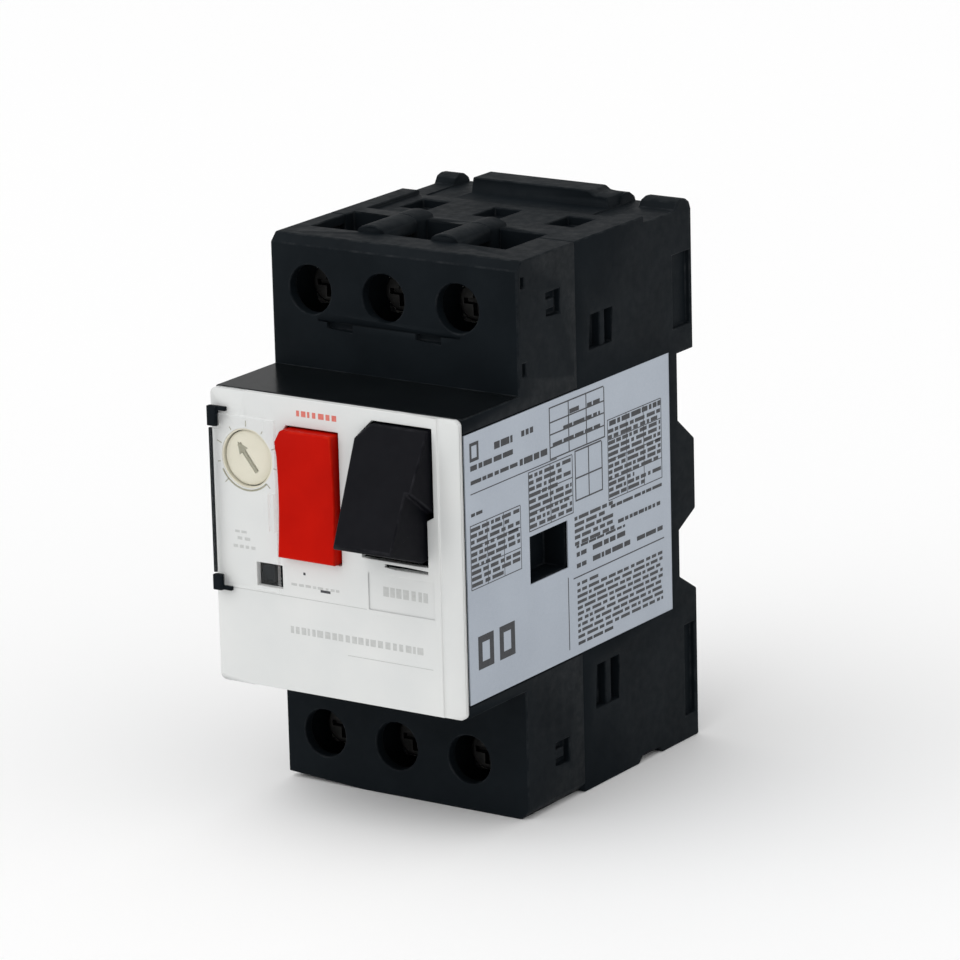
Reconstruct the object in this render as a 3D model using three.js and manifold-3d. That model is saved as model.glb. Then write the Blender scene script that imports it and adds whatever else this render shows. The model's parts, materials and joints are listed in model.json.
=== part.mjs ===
// A three-pole motor protection circuit breaker that clips to a 35 mm top-hat rail.
// Millimetres. x runs to the right, y into the panel (0 at the rail seat, the front is negative),
// and every height in the functions below is counted from the bottom of the case. One inner group
// then lowers the whole device, so that the exported origin lies on the rail's centre line.
import * as THREE from 'three';
import { mergeVertices } from 'three/addons/utils/BufferGeometryUtils.js';
import Module from 'manifold-3d';

const wasm = await Module();
wasm.setup();

// ---- Driving dimensions ----
const GAP = 0.3;                    // clearance between neighbouring pieces
const WALL = 1.6;                   // case wall
const HALF_WIDTH = 22.5;
const BODY_TOP = 87.5;
const LUG_TOP = 89;                 // the raised rear plate is the highest point
const RAIL_CENTRE = 45.5;
const RAIL_HALF_SLOT = 18.1;        // half the slot that takes the 35 mm rail
const FLANGE_BACK = 4.9;            // rear-most face, behind the rail seat
const PARTING = -29;                // the front and rear housings meet here
const BLOCK_FRONT = -44.9;          // front faces of both terminal blocks
const FASCIA_FRONT = -61.7;
const FASCIA_BACK = -60.6;
const HOOD_FRONT = FASCIA_BACK + GAP;
const HOOD_BOTTOM = 20.7;           // the middle of the case, which the fascia covers
const HOOD_TOP = 67;
const START_TIP = -71;              // front edge of the released start button

// Poles and terminals
const POLES = [-15.3, -1.8, 11.7];
const POLE_HALF = 5.2;
const MOUTH_HALF = 4.3;               // half the width of a wire entry
const PARTITIONS = [-8.55, 4.95];     // between neighbouring poles
const PARTITION_HALF = 6.75 - MOUTH_HALF;
const TERMINAL_HEIGHT = 79.3;
const SCREW_HOLE_RADIUS = 3.85;
const SCREW_RADIUS = 1.75;
const SCREW_CLEARANCE = 2.1;
const TERMINAL_PLATE = [-31.7, -30.2];
const SCREW_HEAD = [-39.9, -37.7];
const CLAMP = [-37.4, -36.2];

// Inside of the case
const CAVITY_LEFT = -HALF_WIDTH + WALL;
const CAVITY_RIGHT = 20.4;
const CAVITY_BOTTOM = HOOD_BOTTOM + WALL;
const CAVITY_TOP = HOOD_TOP - WALL;
const HOOD_WALL_BACK = HOOD_FRONT + 1.7;
const MECHANISM_PLATE = [-50.6, -49.4];

// Controls on the front
const START_PIVOT = { y: -57.2, z: 63 };
const START = { x: [4.9, 17.5], z: [44.6, 65], corner: [2.4, 2.3] };
const START_NARROW = { right: 16.3, top: 52.1 };   // the lower part's right side is set back
const STOP = { x: [-9.8, 0.6], z: [42.2, 62.3], corner: [1.3, 2.1], front: -63.5 };
const DIAL = { x: -16.1, z: 56.5, radius: 4.3 };
const TEST = { x: [-15, -10.2], z: [36.7, 40.4] };
const FLAP = { x: [-21.9, -10], z: [36.3, 63.4], y: [-63.1, -62.3] };
const FLAP_HINGE = { x: -22, y: -62.7, radius: 0.45 };
const LABEL = { y: [-60, -2.4], z: [22.7, 64.4], x: [22.25, 22.46] };
const SIDE_WINDOW = { y: [-43, -32.4], z: [37.2, 44.7] };

// Pivots of the mechanism behind the front
const TRIP_BAR = { y: -43, z: 45, radius: 1.2 };
const DRIVE_LEVER = { x: 11, y: -48.1, z: 34, radius: 1 };
const ADJUSTING_LEVER = { x: -16.1, z: 43, depth: [-52, -50.9] };

// ---- Solids from three.js geometry ----
const X = new THREE.Vector3(1, 0, 0);
const Y = new THREE.Vector3(0, 1, 0);
const Z = new THREE.Vector3(0, 0, 1);
// An outline drawn in the other two coordinates, in x-y-z order, extruded along the named axis.
const EXTRUDE_ALONG = {
  x: new THREE.Matrix4().makeBasis(Y, Z, X),
  y: new THREE.Matrix4().makeBasis(X, Z, Y.clone().negate()),
  z: new THREE.Matrix4(),
};
const TURN_TO = {
  x: new THREE.Matrix4().makeRotationZ(-Math.PI / 2),
  y: new THREE.Matrix4(),
  z: new THREE.Matrix4().makeRotationX(Math.PI / 2),
};

function toSolid(geometry) {
  geometry.deleteAttribute('normal');
  geometry.deleteAttribute('uv');
  const merged = mergeVertices(geometry, 1e-4);
  const corners = merged.index.array;
  const faces = [];
  for (let i = 0; i < corners.length; i += 3) {
    const [a, b, c] = corners.slice(i, i + 3);
    if (a !== b && b !== c && c !== a) {
      faces.push(a, b, c);
    }
  }
  return new wasm.Manifold(new wasm.Mesh({
    numProp: 3,
    vertProperties: merged.attributes.position.array,
    triVerts: new Uint32Array(faces),
  }));
}

function toGeometry(solid) {
  const mesh = solid.getMesh();
  const geometry = new THREE.BufferGeometry();
  geometry.setAttribute('position', new THREE.BufferAttribute(mesh.vertProperties, 3));
  geometry.setIndex(new THREE.BufferAttribute(mesh.triVerts, 1));
  geometry.computeVertexNormals();
  return geometry;
}

function box([x0, x1], [y0, y1], [z0, z1]) {
  const geometry = new THREE.BoxGeometry(x1 - x0, y1 - y0, z1 - z0);
  geometry.translate((x0 + x1) / 2, (y0 + y1) / 2, (z0 + z1) / 2);
  return toSolid(geometry);
}

function prism(axis, outline, [from, to], curveSegments = 4) {
  const points = Array.isArray(outline) ? outline.map(([u, v]) => new THREE.Vector2(u, v)) : null;
  const shape = points ? new THREE.Shape(points) : outline;
  const geometry = new THREE.ExtrudeGeometry(shape, { depth: to - from, bevelEnabled: false, curveSegments });
  geometry.translate(0, 0, axis === 'y' ? -to : from);
  geometry.applyMatrix4(EXTRUDE_ALONG[axis]);
  return toSolid(geometry);
}

// The centre of a round piece is given in the two coordinates across its axis, in x-y-z order.
function place(geometry, axis, [u, v], along) {
  const centre = { x: [along, u, v], y: [u, along, v], z: [u, v, along] }[axis];
  geometry.applyMatrix4(TURN_TO[axis]);
  geometry.translate(...centre);
  return toSolid(geometry);
}

function rod(axis, centre, radius, [from, to], sides = 20) {
  const geometry = new THREE.CylinderGeometry(radius, radius, to - from, sides);
  return place(geometry, axis, centre, (from + to) / 2);
}

// profile: [radius, distance along the axis] pairs, from the axis back to the axis
function turned(axis, centre, profile, sides = 16) {
  const points = profile.map(([radius, along]) => new THREE.Vector2(radius, along));
  return place(new THREE.LatheGeometry(points, sides), axis, centre, 0);
}

class Helix extends THREE.Curve {
  constructor(radius, length, turns) {
    super();
    this.radius = radius;
    this.length = length;
    this.turns = turns;
  }

  getPoint(t, target = new THREE.Vector3()) {
    const angle = 2 * Math.PI * this.turns * t;
    return target.set(this.radius * Math.cos(angle), this.length * t, this.radius * Math.sin(angle));
  }
}

function coil(axis, centre, { radius, wire, turns }, [from, to], stepsPerTurn = 10) {
  const section = new THREE.Shape();
  section.absarc(0, 0, wire, 0, 2 * Math.PI);
  const path = new Helix(radius, to - from - 2 * wire, turns);
  const steps = Math.round(turns * stepsPerTurn);
  const geometry = new THREE.ExtrudeGeometry(section, { steps, extrudePath: path, curveSegments: 3 });
  return place(geometry, axis, centre, from + wire);
}

function roundedRectangle([u0, u1], [v0, v1], radius) {
  const shape = new THREE.Shape();
  shape.moveTo(u0 + radius, v0);
  shape.lineTo(u1 - radius, v0);
  shape.absarc(u1 - radius, v0 + radius, radius, -Math.PI / 2, 0);
  shape.lineTo(u1, v1 - radius);
  shape.absarc(u1 - radius, v1 - radius, radius, 0, Math.PI / 2);
  shape.lineTo(u0 + radius, v1);
  shape.absarc(u0 + radius, v1 - radius, radius, Math.PI / 2, Math.PI);
  shape.lineTo(u0, v0 + radius);
  shape.absarc(u0 + radius, v0 + radius, radius, Math.PI, 1.5 * Math.PI);
  return shape;
}

function join(...solids) {
  return solids.reduce((whole, next) => whole.add(next));
}

function cut(body, ...tools) {
  return tools.reduce((rest, tool) => rest.subtract(tool), body);
}

const around = (centre, half) => [centre - half, centre + half];
const grown = ([low, high], margin) => [low - margin, high + margin];

// The lower terminals are the upper ones turned over about the middle height of the case.
function heights(side, [low, high]) {
  return side === 'line' ? [low, high] : [BODY_TOP - high, BODY_TOP - low];
}

function height(side, value) {
  return side === 'line' ? value : BODY_TOP - value;
}

// ---- Cases ----
function rearProfile() {
  const bottomNotch = [[-13, 0], [-12, 1], [-7, 1], [-6, 0]];
  const lowerFlange = [[FLANGE_BACK, 0], [FLANGE_BACK, 24.4], [0, RAIL_CENTRE - RAIL_HALF_SLOT]];
  const upperFlange = [[0, RAIL_CENTRE + RAIL_HALF_SLOT], [FLANGE_BACK, RAIL_CENTRE + RAIL_HALF_SLOT]];
  const roundedTop = [[FLANGE_BACK, 86], [4.4, 87.2], [3.3, 87.9], [2, 88], [0.8, 87.7], [0, 86.5]];
  const top = [[-9, 86.5], [-9, BODY_TOP], [PARTING, BODY_TOP]];
  return [[PARTING, 0], ...bottomNotch, ...lowerFlange, ...upperFlange, ...roundedTop, ...top];
}

function railFoot(range) {
  const outline = [[-0.5, 35], [0, 35], [FLANGE_BACK, 37.5], [FLANGE_BACK, 49], [0, 53], [-0.5, 53]];
  return prism('x', outline, range);
}

function upperHook() {
  const bottom = RAIL_CENTRE + RAIL_HALF_SLOT;
  const outline = [[1.5, bottom + 1], [1.5, bottom - 1.7], [2.6, bottom - 1.7], [4.6, bottom], [4.6, bottom + 1]];
  return prism('x', outline, around(0, 16));
}

// Where a wire enters: behind the block's front strip, open to the outside.
function wireMouth(x, side, depth) {
  return box(around(x, MOUTH_HALF), depth, heights(side, [70.5, BODY_TOP + 1]));
}

// Rounded ridges on the partitions, which guide the wires into their mouths.
function wireGuides(depth) {
  const arch = new THREE.EllipseCurve(0, BODY_TOP, PARTITION_HALF, 1.2, 0, Math.PI);
  const rim = arch.getPoints(8).map((point) => [point.x, point.y]);
  const ridge = prism('y', [[-PARTITION_HALF, 86], [PARTITION_HALF, 86], ...rim], depth);
  return PARTITIONS.map((x) => ridge.translate([x, 0, 0]));
}

function latchChannel() {
  const tongueSlot = box(around(0, 8.3), [1, 2.6], [-1, 28]);
  const bodySlot = box(around(0, 7.3), [1, 6], [-1, 28]);
  const springPocket = box(around(0, 2.9), [-5.4, 1.1], [8, 21.4]);
  return join(tongueSlot, bodySlot, springPocket);
}

function rearHousing() {
  let body = prism('x', rearProfile(), around(0, HALF_WIDTH));
  body = join(body, railFoot([6, HALF_WIDTH]), railFoot([-HALF_WIDTH, -6]), upperHook());
  const topPlate = [[-13.5, 86], [-13, LUG_TOP], [8.6, LUG_TOP], [9.6, 88.3], [12, 88.1], [12.4, 86]];
  body = join(body, prism('y', topPlate, [-3, 2]));
  const contactRoom = box([CAVITY_LEFT, CAVITY_RIGHT], [PARTING - 1, -2], [28.5, 63]);
  const lowerRoom = box([CAVITY_LEFT, CAVITY_RIGHT], [PARTING - 1, -8], [22.3, 29]);
  const lugNotches = [[-18.8, -13.5], [12.4, 16]].map((x) => box(x, [-9.1, 6], [86.3, 90]));
  const deck = box([-19.2, 18.4], [-23.4, -3], [86.8, 90]);
  const vents = POLES.map((x) => box([x - 1.5, x + 3.5], [-18, -11.5], [85.2, 88]));
  const flangeRecesses = [[[-0.9, 4.2], [67.8, 79.5]], [[1, 4], [4, 19]]].map(([y, z]) => box([21.6, 24], y, z));
  const labelRecess = box([21.95, 24], LABEL.y, LABEL.z);
  body = cut(body, contactRoom, lowerRoom, ...lugNotches, deck, ...vents, ...flangeRecesses);
  body = join(cut(body, labelRecess, latchChannel()), ...wireGuides([PARTING, -24.4]));
  for (const side of ['line', 'load']) {
    for (const x of POLES) {
      body = cut(body, wireMouth(x, side, [PARTING - 1, -26.6]));
    }
  }
  const upperSocket = box([20.6, 24], [-25.2, -18.7], [69.8, 75.3]);
  const lowerSocket = box([20.6, 24], [-25.2, -18.5], [12.5, 19.6]);
  const upperTab = box([20, 22.2], [-21.8, -20.3], [69, 76]);
  const lowerTab = box([20, 22.2], [-22, -20.4], [12, 20.5]);
  return cut(body, cut(upperSocket, upperTab), cut(lowerSocket, lowerTab));
}

function hood() {
  return box(around(0, HALF_WIDTH), [HOOD_FRONT, PARTING], [HOOD_BOTTOM, HOOD_TOP]);
}

function upperBlock() {
  const block = box(around(0, HALF_WIDTH), [BLOCK_FRONT, PARTING], [HOOD_TOP - 1, BODY_TOP]);
  const slots = [[-12.4, -7.6], [3.9, 8.6]].map((x) => box(x, [BLOCK_FRONT - 1, BLOCK_FRONT + 1], [73.4, 74.5]));
  const stepLine = box([-14, 12], [BLOCK_FRONT - 1, BLOCK_FRONT + 0.3], [74.5, 74.8]);
  const nicks = [[69.7, 71.7], [83.2, 85]].map((z) => box([21.6, 24], [-43.9, -42.8], z));
  const topEdge = prism('x', [[-45, 86], [-43.4, 87.6], [-45, 87.6]], around(0, 23));
  return cut(block, ...slots, stepLine, ...nicks, topEdge);
}

// The lower block's bottom edge rises a little towards its left end.
function lowerBlock() {
  const bow = new THREE.QuadraticBezierCurve(
    new THREE.Vector2(-HALF_WIDTH, 0.9), new THREE.Vector2(2, -1), new THREE.Vector2(21, 0));
  const edge = bow.getPoints(10).map((point) => [point.x, Math.max(point.y, 0)]);
  const outline = [...edge, [HALF_WIDTH, 1.4], [HALF_WIDTH, HOOD_BOTTOM + 1], [-HALF_WIDTH, HOOD_BOTTOM + 1]];
  return prism('y', outline, [BLOCK_FRONT, PARTING]);
}

function pivotBoss(range) {
  const boss = box(range, [HOOD_WALL_BACK - 0.5, -55.4], [61, CAVITY_TOP + 0.5]);
  return cut(boss, rod('x', [START_PIVOT.y, START_PIVOT.z], 1.3, grown(range, 1)));
}

// A button's front outline: a rectangle whose upper left corner is cut off.
function buttonOutline({ x: [left, right], z: [bottom, top], corner: [across, down] }, margin = 0) {
  return [
    [left - margin, bottom - margin], [right + margin, bottom - margin], [right + margin, top + margin],
    [left + across - margin / 2, top + margin], [left - margin, top - down + margin / 2],
  ];
}

// The fascia's START opening follows the narrow lower part of the button; the case behind it is wider.
function controlOpenings(depth, startBottom) {
  const startWide = prism('y', buttonOutline({ ...START, z: [startBottom + GAP, START.z[1]] }, GAP), depth);
  const stop = prism('y', buttonOutline(STOP, GAP), depth);
  const test = box(TEST.x, depth, TEST.z);
  return join(startWide, stop, test);
}

// The side window opens into a pocket, whose floor has a slot in front of the trip bar.
function sidePocket() {
  const shell = box([17.3, 21.5], grown(SIDE_WINDOW.y, 0.9), grown(SIDE_WINDOW.z, 0.9));
  const room = box([18, 24], SIDE_WINDOW.y, SIDE_WINDOW.z);
  const slot = box([17, 19], [-41.6, -40], [39, 43]);
  return { shell, hollow: join(room, slot) };
}

function frontHousing() {
  let body = join(hood(), upperBlock(), lowerBlock());
  const roomDepth = [HOOD_WALL_BACK, PARTING + 1];
  const room = box([CAVITY_LEFT, CAVITY_RIGHT], roomDepth, [CAVITY_BOTTOM, CAVITY_TOP]);
  const wallDepth = [HOOD_FRONT - 1, HOOD_WALL_BACK + 1];
  const dialShaftHole = rod('y', [DIAL.x, DIAL.z], 2.4, wallDepth);
  const pocket = sidePocket();
  const labelRecess = box([21.95, 24], [LABEL.y[0] - GAP, LABEL.y[1]], grown(LABEL.z, 0.3));
  body = join(cut(body, room), pocket.shell);
  body = cut(body, pocket.hollow, controlOpenings(wallDepth, 42.9), dialShaftHole, labelRecess);
  body = join(body, pivotBoss([3.4, 4.5]), pivotBoss([18.4, 19.5]));
  const frontStrip = BLOCK_FRONT + 1.9;
  const mouthFront = BLOCK_FRONT + 6.9;
  for (const z of [79.3, 8.3]) {
    const window = box([21.3, 24], [-37.2, -33.2], around(z, 1.9));
    const snap = box([21, 22.2], [-38, -34.4], around(z, 0.8));
    body = cut(body, cut(window, snap));
  }
  for (const side of ['line', 'load']) {
    for (const x of POLES) {
      const cell = box(around(x, POLE_HALF), [frontStrip, PARTING + 1], heights(side, [70.5, BODY_TOP - WALL]));
      const mouth = wireMouth(x, side, [mouthFront, PARTING + 1]);
      const plateSlot = box(around(x, 3.9), [-32, PARTING + 1], heights(side, [64, 71]));
      const screwHole = rod('y', [x, height(side, TERMINAL_HEIGHT)], SCREW_HOLE_RADIUS, [-46, -42], 24);
      body = cut(body, cell, mouth, plateSlot, screwHole);
    }
  }
  return join(body, ...wireGuides([mouthFront, PARTING]));
}

// ---- Front controls ----
function fascia() {
  const outline = roundedRectangle(around(0, HALF_WIDTH), [HOOD_BOTTOM, HOOD_TOP], 1);
  const plate = prism('y', outline, [FASCIA_FRONT, FASCIA_BACK]);
  const through = [FASCIA_FRONT - 1, FASCIA_BACK + 1];
  const dialHole = rod('y', [DIAL.x, DIAL.z], DIAL.radius + 0.4, through, 32);
  const rightMargin = box([18.7, 24], [FASCIA_FRONT - 1, FASCIA_FRONT + 0.3], [20, 68]);
  const startFrame = box([5.6, 17.6], [FASCIA_FRONT - 1, FASCIA_FRONT + 0.2], [35.8, 41.6]);
  const narrow = START_NARROW.right + GAP;
  const startSlot = box([8.7, narrow], through, [42.7, 43.3]);
  const startEdge = [[narrow, 43.3], [19, 43.3], [19, 52.2], [18, START_NARROW.top - 0.3], [narrow, 51]];
  const openings = cut(controlOpenings(through, 43.8), prism('y', startEdge, grown(through, 1)));
  return cut(plate, openings, dialHole, rightMargin, startFrame, startSlot);
}

function startButton() {
  const profile = [
    [-62.3, START.z[1]], [START_TIP, 48.1], [START_TIP + 0.3, 47.5], [-62.4, START.z[0]],
    [-57.5, START.z[0] + 0.5], [-57.5, 61.2], [-55.9, 62], [-55.9, 64.2], [-57.5, START.z[1]],
  ];
  const wedge = prism('x', profile, START.x);
  const front = buttonOutline({ ...START, z: [43, START.z[1]] });
  const plan = [[START.x[0], -50], [START.x[0], -62.3], [6, START_TIP - 0.5], [16.9, START_TIP - 0.5],
    [START.x[1], -62.3], [START.x[1], -50]];
  const shaped = wedge.intersect(prism('y', front, [-75, -50])).intersect(prism('z', plan, [40, 70]));
  const pin = rod('x', [START_PIVOT.y, START_PIVOT.z], 1, [START.x[0] - 1.3, START.x[1] + 1.7], 16);
  const tail = box([9.5, 12.5], [-58, -52.6], [47, 50]);
  const reliefSide = [[-75, 40], [-75, 62.6], [-61, START_NARROW.top], [-50, START_NARROW.top], [-50, 40]];
  const sideRelief = prism('x', reliefSide, [START_NARROW.right, 19]);
  return join(cut(shaped, sideRelief), pin, tail);
}

function stopButton() {
  const body = prism('y', buttonOutline(STOP), [STOP.front, HOOD_WALL_BACK + 0.6]);
  const rim = box(STOP.x, [HOOD_WALL_BACK + GAP, HOOD_WALL_BACK + 1.5], [41.6, 63.8]);
  const stem = box([-5, -1.4], [HOOD_WALL_BACK + 1.4, -46.9], [48, 53]);
  const scoop = rod('x', [STOP.front - 77.9, 52.3], 78.6, grown(STOP.x, 1), 180);
  return join(cut(body, scoop), rim, stem);
}

function settingDial() {
  const profile = [
    [0, -61.4], [3.6, -61.4], [DIAL.radius, -61.1], [DIAL.radius, -60.6], [2, -60.6],
    [2, -53], [0, -53],
  ];
  const disc = turned('y', [DIAL.x, DIAL.z], profile, 32);
  const cam = rod('y', [DIAL.x, DIAL.z + 1], 3, [-53.6, -52.3], 24);
  const slot = box(around(0, 2.6), [-62, -60.9], around(0, 0.4)).rotate([0, 52, 0]).translate([DIAL.x, 0, DIAL.z]);
  return cut(join(disc, cam), slot);
}

// The clear flap turns on its left edge, between two knuckles fixed to the fascia.
function dialFlap() {
  const pane = prism('y', roundedRectangle(FLAP.x, FLAP.z, 0.6), FLAP.y);
  const corners = [[FLAP.z[0] - 1, 38], [61, FLAP.z[1] + 1]].map((z) => box([-23, -20.4], grown(FLAP.y, 1), z));
  const barrel = rod('z', [FLAP_HINGE.x, FLAP_HINGE.y], FLAP_HINGE.radius, [38, 61], 12);
  const thumbLip = box([-11.2, FLAP.x[1]], [FLAP.y[0] - 0.5, FLAP.y[1]], [46, 52]);
  return join(cut(pane, ...corners), barrel, thumbLip);
}

// A knuckle of the flap's hinge, with a slim arm past the flap's corner.
function flapKnuckle(z, armHeight) {
  const outline = roundedRectangle([-22.45, -20.7], [-63.2, FASCIA_FRONT - GAP], 0.4);
  const arm = box([-22, -19.3], [-62.6, FASCIA_FRONT - GAP], armHeight);
  return join(prism('z', outline, z), arm);
}

function testSlider() {
  const lever = box([-14.6, -12.4], [-60.7, HOOD_WALL_BACK + 0.5], [37.3, 39.8]);
  const guide = box([-17.5, -9], [HOOD_WALL_BACK + GAP, HOOD_WALL_BACK + 1.4], [35.6, 41.2]);
  return join(lever, guide);
}

function ratingLabel() {
  const sheet = box(LABEL.x, LABEL.y, LABEL.z);
  return cut(sheet, box([21, 24], SIDE_WINDOW.y, SIDE_WINDOW.z));
}

// ---- Rail latch ----
function railLatch() {
  const body = prism('x', [[1.3, 0.8], [4.6, 0.8], [4.6, 27.2], [2.6, 29.2], [1.3, 29.2]], around(0, 7));
  const tongues = box(around(0, 8), [1.3, 2.3], [6, 26]);
  const springTab = box(around(0, 1.9), [-4.6, 1.5], [18, 20]);
  const toolSlot = box(around(0, 2.6), [0, 6], [2.2, 4]);
  return cut(join(body, tongues, springTab), toolSlot);
}

function railLatchSpring() {
  return coil('z', [0, -2.6], { radius: 1.8, wire: 0.35, turns: 6 }, [8.2, 17.8]);
}

// ---- Terminals ----
function terminalScrew(x, side) {
  const z = height(side, TERMINAL_HEIGHT);
  const profile = [
    [0, SCREW_HEAD[0]], [2.8, SCREW_HEAD[0]], [3.1, SCREW_HEAD[0] + 0.3], [3.1, SCREW_HEAD[1]],
    [SCREW_RADIUS, SCREW_HEAD[1]], [SCREW_RADIUS, -31.5], [1.3, -30.9], [0, -30.9],
  ];
  const crossArm = [SCREW_HEAD[0] - 1, SCREW_HEAD[0] + 1.2];
  const cross = join(box(around(x, 2.2), crossArm, around(z, 0.45)), box(around(x, 0.45), crossArm, around(z, 2.2)));
  return cut(turned('y', [x, z], profile, 20), cross);
}

function terminalClamp(x, side) {
  const z = height(side, TERMINAL_HEIGHT);
  const plate = prism('y', roundedRectangle(around(x, 4), around(z, 4), 0.8), CLAMP, 2);
  return cut(plate, rod('y', [x, z], SCREW_CLEARANCE, grown(CLAMP, 1), 16));
}

function screwedPlate(x, side, [low, high]) {
  const z = height(side, TERMINAL_HEIGHT);
  const plate = box(around(x, 3.6), TERMINAL_PLATE, heights(side, [low, high]));
  return cut(plate, rod('y', [x, z], SCREW_CLEARANCE, grown(TERMINAL_PLATE, 1), 16));
}

function fixedContact(x, z) {
  return rod('y', [x, z], 1.7, [TERMINAL_PLATE[0] - 1.1, TERMINAL_PLATE[0] + 0.2], 14);
}

function lineTerminal(x) {
  return join(screwedPlate(x, 'line', [57, 84]), fixedContact(x, 58.8));
}

function loadTerminal(x) {
  const foot = box(around(x, 2.5), [-37.2, TERMINAL_PLATE[1]], [23, 24.4]);
  return join(screwedPlate(x, 'load', [BODY_TOP - 24.4, 84]), foot);
}

function coilTerminal(x) {
  const plate = box(around(x, 3.6), TERMINAL_PLATE, [44.5, 50.5]);
  const tail = box(around(x, 2), [TERMINAL_PLATE[1] - 0.2, -24], [47.6, 48.8]);
  return join(plate, tail, fixedContact(x, 48.2));
}

// ---- Contacts and trip parts ----
function contactBridge(x) {
  const strip = box(around(x, 2.5), [-37.8, -36.8], [46, 61]);
  const tips = [58.8, 48.2].map((z) => rod('y', [x, z], 1.7, [-37, -35.8], 14));
  return join(strip, ...tips);
}

function contactCarrier() {
  const beam = box([-19.6, 16], [-41.9, -39.2], [50.4, 56.6]);
  const cheeks = POLES.flatMap((x) => [-3.6, 3.6].map((offset) => {
    return box(around(x + offset, 0.6), [-39.4, -35.4], [50.9, 56.1]);
  }));
  return join(beam, ...cheeks);
}

function arcChute(x) {
  const cheeks = [-4.4, 4.4].map((offset) => box(around(x + offset, 0.4), [-27, -10], [51.5, 62]));
  const plates = [0, 1, 2, 3, 4].map((i) => box(around(x, 4.2), [-26 + 3.4 * i, -25.2 + 3.4 * i], [52, 61.5]));
  return join(...cheeks, ...plates);
}

function tripCoil(x) {
  return coil('z', [x, -19], { radius: 3.9, wire: 0.65, turns: 7 }, [30.5, 44.5], 9);
}

function coilBobbin(x) {
  const profile = [
    [0, 29], [4.6, 29], [4.6, 30.2], [2.9, 30.2], [2.9, 44.8], [4.6, 44.8], [4.6, 46], [0, 46],
  ];
  return cut(turned('z', [x, -19], profile, 18), rod('z', [x, -19], 2.1, [28, 47], 16));
}

function tripPlunger(x) {
  const profile = [[0, 31.5], [1.8, 31.5], [1.8, 46.8], [2.6, 46.8], [2.6, 48], [0, 48]];
  return turned('z', [x, -19], profile, 14);
}

function bimetal(x) {
  return box(around(x, 2.5), [-38.6, -37.6], [23, 42.5]);
}

function tripBar() {
  const shaft = rod('x', [TRIP_BAR.y, TRIP_BAR.z], TRIP_BAR.radius, [-19.6, 17], 16);
  const fingers = POLES.map((x) => box(around(x, 1.2), [-43.6, -42.2], [39.2, 45]));
  const heels = POLES.map((x) => box(around(x, 1.2), [-43, -40.2], [39.2, 40.6]));
  const stopArm = prism('x', [[-44, 45], [-42.8, 45], [-45.2, 51.8], [-46.5, 51.8]], [-4.2, -2.2]);
  return join(shaft, ...fingers, ...heels, stopArm);
}

function driveLever() {
  const { x, y, z, radius } = DRIVE_LEVER;
  const shaft = rod('x', [y, z], radius, around(x, 4), 16);
  const arm = box(around(x, 1.5), around(y, 0.8), [z, 55.4]);
  const nose = box(around(x, 1.5), [y, -42.3], [52.6, 55.4]);
  return join(shaft, arm, nose);
}

function adjustingLever() {
  const { x, z, depth } = ADJUSTING_LEVER;
  const blade = box(around(x, 1.4), depth, [z - 4, 60.5]);
  const toe = box([x - 1.4, x + 6], depth, [z - 4, z - 1.5]);
  return join(blade, toe, rod('y', [x, z], 2.2, depth));
}

// A steel plate across the case carries the mechanism.
function mechanismPlate() {
  const plate = box([-20.4, 17.2], MECHANISM_PLATE, [CAVITY_BOTTOM + GAP, CAVITY_TOP - GAP]);
  const through = grown(MECHANISM_PLATE, 1);
  const stopWindow = box([-5.6, -0.8], through, [46.5, 53.8]);
  const startWindow = box([7.5, 14.5], through, [42, 58]);
  return cut(plate, stopWindow, startWindow);
}

function startSpring() {
  return coil('y', [7, 60], { radius: 1.2, wire: 0.25, turns: 6 }, [-57.2, MECHANISM_PLATE[0] - GAP], 8);
}

function stopSpring() {
  return coil('y', [-3.2, 59], { radius: 1.8, wire: 0.3, turns: 6 }, [-56.8, MECHANISM_PLATE[0] - GAP], 8);
}

function carrierSpring() {
  return coil('y', [-8.6, 53.5], { radius: 1.5, wire: 0.3, turns: 8 }, [-38.9, -27.5], 8);
}

// ---- Looks of the pieces ----
const finishes = {
  housing: new THREE.MeshStandardMaterial({ color: 0x202427, roughness: 0.62, metalness: 0 }),
  fascia: new THREE.MeshStandardMaterial({ color: 0xe1e1de, roughness: 0.45, metalness: 0 }),
  startBlack: new THREE.MeshStandardMaterial({ color: 0x1f2024, roughness: 0.5, metalness: 0 }),
  stopRed: new THREE.MeshStandardMaterial({ color: 0xbe1905, roughness: 0.4, metalness: 0 }),
  dialCream: new THREE.MeshStandardMaterial({ color: 0xddd8bf, roughness: 0.45, metalness: 0 }),
  clear: new THREE.MeshStandardMaterial({
    color: 0xf2f5f5, roughness: 0.08, metalness: 0, transparent: true, opacity: 0.3,
  }),
  labelSilver: new THREE.MeshStandardMaterial({ color: 0xa9b0b8, roughness: 0.4, metalness: 0.3 }),
  steel: new THREE.MeshStandardMaterial({ color: 0x9b9d9c, roughness: 0.35, metalness: 1 }),
  copper: new THREE.MeshStandardMaterial({ color: 0xb87548, roughness: 0.35, metalness: 1 }),
  bimetal: new THREE.MeshStandardMaterial({ color: 0xb9a77a, roughness: 0.4, metalness: 1 }),
  innerPlastic: new THREE.MeshStandardMaterial({ color: 0xc9bfa6, roughness: 0.55, metalness: 0 }),
};

const device = new THREE.Group();
device.position.z = -RAIL_CENTRE;

function add(name, solid, finish) {
  const mesh = new THREE.Mesh(toGeometry(solid), finishes[finish].clone());
  mesh.name = name;
  device.add(mesh);
}

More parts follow.
